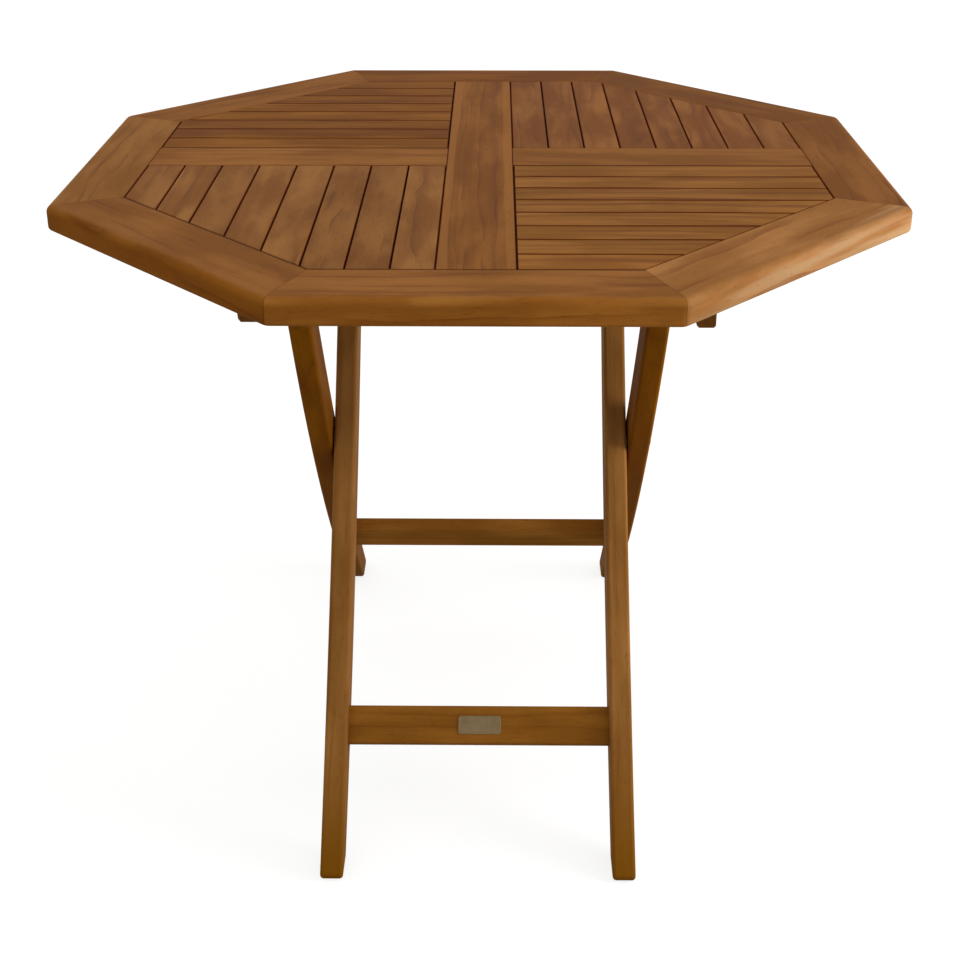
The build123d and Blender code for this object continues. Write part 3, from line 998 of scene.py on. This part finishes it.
@dataclass
class BarePlate:
    """Small bare plate on the face of the front stretcher."""

    width: float = 50.0      # mm
    height: float = 21.0     # mm
    corner: float = 3.0      # mm
    thickness: float = 1.0   # mm
    rounding: float = 0.5    # mm, over the rim
    off_middle: float = 1.0  # mm along the stretcher
    lean: float = 41.6       # degrees between the stretcher's face and the vertical
    stand_off: float = 10.0  # mm, half the stretcher's thickness
    points_per_corner: int = 10
    points_over_rim: int = 5
    finish: PlateFinish = PlateFinish()

    def outline(self) -> tuple[np.ndarray, np.ndarray]:
        """Work out the plate's outline: four corner points, each with a quarter circle round it.

        Returns:
            Corner middles and outward unit directions, one row per outline point.
        """
        turn = np.linspace(0, math.pi / 2, self.points_per_corner)
        angles = (np.arange(4)[:, None] * math.pi / 2 + turn).ravel()
        half = np.array([self.width / 2 - self.corner, self.height / 2 - self.corner])
        signs = np.array([(1, 1), (-1, 1), (-1, -1), (1, -1)])
        middles = np.repeat(signs * half, self.points_per_corner, axis=0)
        return middles, np.stack([np.cos(angles), np.sin(angles)], axis=1)

    def build(self) -> bpy.types.Object:
        """Build the plate: the outline drawn inwards and up in steps, the rim rounded over.

        Ring k is corner middle + (corner radius - inset k) * direction, at lift k above the
        stretcher's face. The first and last rings close in one flat face each.

        Returns:
            The plate, riding with the inner legs.
        """
        middles, outward = self.outline()
        bend = np.linspace(0, math.pi / 2, self.points_over_rim)
        inset = np.concatenate([[0.0], self.rounding * (1 - np.cos(bend))])
        lift = np.concatenate([[0.0], self.thickness - self.rounding * (1 - np.sin(bend))])
        flat = middles + (self.corner - inset[:, None, None]) * outward
        count = len(middles)
        local = np.concatenate([flat, np.repeat(lift[:, None, None], count, axis=1)], axis=2)
        lean = math.radians(self.lean)
        across = np.array(ASIDE)
        upward = np.array([0.0, math.sin(lean), math.cos(lean)])
        normal = np.array([0.0, -math.cos(lean), math.sin(lean)])
        low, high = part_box("front_stretcher")
        middle = np.array((low + high) / 2 / MM)
        origin = middle + self.off_middle * across + self.stand_off * normal
        points = (origin + local.reshape(-1, 3) @ np.stack([across, upward, normal])) * MM
        number = np.arange(len(inset) * count).reshape(len(inset), count)
        after = np.roll(number, -1, axis=1)
        walls = np.stack([number[:-1], after[:-1], after[1:], number[1:]], axis=-1)
        ends = [number[-1].tolist(), number[0][::-1].tolist()]
        plate = make_piece("bare_plate", points, walls.reshape(-1, 4).tolist() + ends)
        plate.data.materials.append(self.finish.material())
        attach(plate, "inner_legs")
        LOG.info("bare_plate: %s", self.finish.name)
        return plate


@dataclass
class Studio:
    """Pale floor, white surroundings and soft light with the key from the right."""

    floor_size: float = 30.0  # metres
    floor_points: int = 5     # along each side
    floor_colour: str = "#8E8E8C"
    floor_roughness: float = 0.9
    floor_lift: float = 0.80  # added white that only the camera and reflections see
    fill: float = 0.88        # strength of the even light from all sides
    key_power: float = 13.0   # watts
    key_size: float = 0.6     # metres
    key_place: tuple[float, float, float] = (1.32, -0.3, 0.62)
    aim: tuple[float, float, float] = (0.15, -0.1, 0.55)

    def build(self) -> None:
        """Build the floor, the surroundings and the key light."""
        self.build_floor()
        self.light_surroundings()
        self.hang_key()

    def seen(self, tree: Tree) -> Node:
        """Tell what is seen, directly, in a reflection or through glass, from what only lights.

        Args:
            tree: The node tree of the floor's material or of the world.

        Returns:
            A value of 1 for what is seen and 0 for the rest.
        """
        rays = add_node(tree, "LightPath").outputs
        direct = {0: rays["Is Camera Ray"], 1: rays["Is Glossy Ray"]}
        seen = add_node(tree, "Math", direct, operation="MAXIMUM")
        through = {0: seen, 1: rays["Is Transmission Ray"]}
        return add_node(tree, "Math", through, operation="MAXIMUM")

    def build_floor(self) -> None:
        """Build the floor as a flat grid, white to the camera but for the table's shadow."""
        count = self.floor_points
        steps = np.linspace(-self.floor_size / 2, self.floor_size / 2, count)
        x, y = np.meshgrid(steps, steps, indexing="ij")
        points = np.stack([x, y, np.zeros_like(x)], axis=-1).reshape(-1, 3)
        number = np.arange(count**2).reshape(count, count)
        sides = [number[:-1, :-1], number[1:, :-1], number[1:, 1:], number[:-1, 1:]]
        faces = np.stack(sides, axis=-1).reshape(-1, 4)
        floor = make_piece("studio_floor", points, faces.tolist())
        material, tree = new_material("white_studio_floor")
        lift = {0: self.seen(tree), 1: self.floor_lift}
        shader = add_node(
            tree,
            "BsdfPrincipled",
            {
                "Base Color": linear(self.floor_colour),
                "Roughness": self.floor_roughness,
                "Specular IOR Level": 0.0,
                "Emission Color": WHITE,
                "Emission Strength": add_node(tree, "Math", lift, operation="MULTIPLY"),
            },
        )
        add_node(tree, "OutputMaterial", {"Surface": shader})
        floor.data.materials.append(material)

    def light_surroundings(self) -> None:
        """White to the camera and in reflections, an even soft light to everything else."""
        world = bpy.data.worlds.new("white_studio")
        bpy.context.scene.world = world
        world.use_nodes = True
        tree = world.node_tree
        tree.nodes.clear()
        soft = add_node(tree, "Background", {"Color": WHITE, "Strength": self.fill})
        white = add_node(tree, "Background", {"Color": WHITE, "Strength": 1.0})
        mixed = add_node(tree, "MixShader", {0: self.seen(tree), 1: soft, 2: white})
        add_node(tree, "OutputWorld", {"Surface": mixed})

    def hang_key(self) -> None:
        """Hang one large soft lamp low on the right, turned to the table."""
        light = bpy.data.lights.new("key_softbox", "AREA")
        light.energy = self.key_power
        light.size = self.key_size
        lamp = bpy.data.objects.new("key_softbox", light)
        lamp.location = self.key_place
        sight = Vector(self.aim) - Vector(self.key_place)
        lamp.rotation_euler = sight.to_track_quat("-Z", "Y").to_euler()
        bpy.context.scene.collection.objects.link(lamp)


@dataclass
class ProductCamera:
    """Camera at the photograph's viewing angle, slightly above the table."""

    place: tuple[float, float, float] = (0.0171, -1.6786, 1.2284)
    yaw: float = -0.594    # degrees, to the right of straight ahead
    pitch: float = 23.054  # degrees down
    roll: float = -0.061   # degrees
    lens: float = 56.54    # mm
    sensor: float = 36.0   # mm
    shift_up: float = -0.14
    clip: tuple[float, float] = (0.05, 60.0)  # metres

    def build(self) -> None:
        """Set up the camera from its sight line, and make it the scene's camera."""
        yaw, pitch, roll = (math.radians(angle) for angle in (self.yaw, self.pitch, self.roll))
        level = Vector((math.sin(yaw), math.cos(yaw), 0.0))
        ahead = level * math.cos(pitch) - Vector(UP) * math.sin(pitch)
        right = Vector((math.cos(yaw), -math.sin(yaw), 0.0))
        upward = right.cross(ahead)
        turned_right = right * math.cos(roll) + upward * math.sin(roll)
        turned_up = upward * math.cos(roll) - right * math.sin(roll)
        data = bpy.data.cameras.new("product_camera")
        data.lens = self.lens
        data.sensor_width = self.sensor
        data.shift_y = self.shift_up
        data.clip_start, data.clip_end = self.clip
        camera = bpy.data.objects.new("product_camera", data)
        turn = Matrix((turned_right, turned_up, -ahead)).transposed().to_4x4()
        camera.matrix_world = Matrix.Translation(self.place) @ turn
        bpy.context.scene.collection.objects.link(camera)
        bpy.context.scene.camera = camera


def main() -> None:
    """Dress the table, add the plate, and set the studio and the camera."""
    logging.basicConfig(level=logging.INFO, format="%(name)s: %(message)s")
    bpy.context.scene.view_settings.view_transform = "Standard"
    OctagonTop().dress()
    CrossedLegs().dress()
    Hardware().dress()
    BarePlate().build()
    Studio().build()
    ProductCamera().build()


if __name__ == "__main__":
    main()
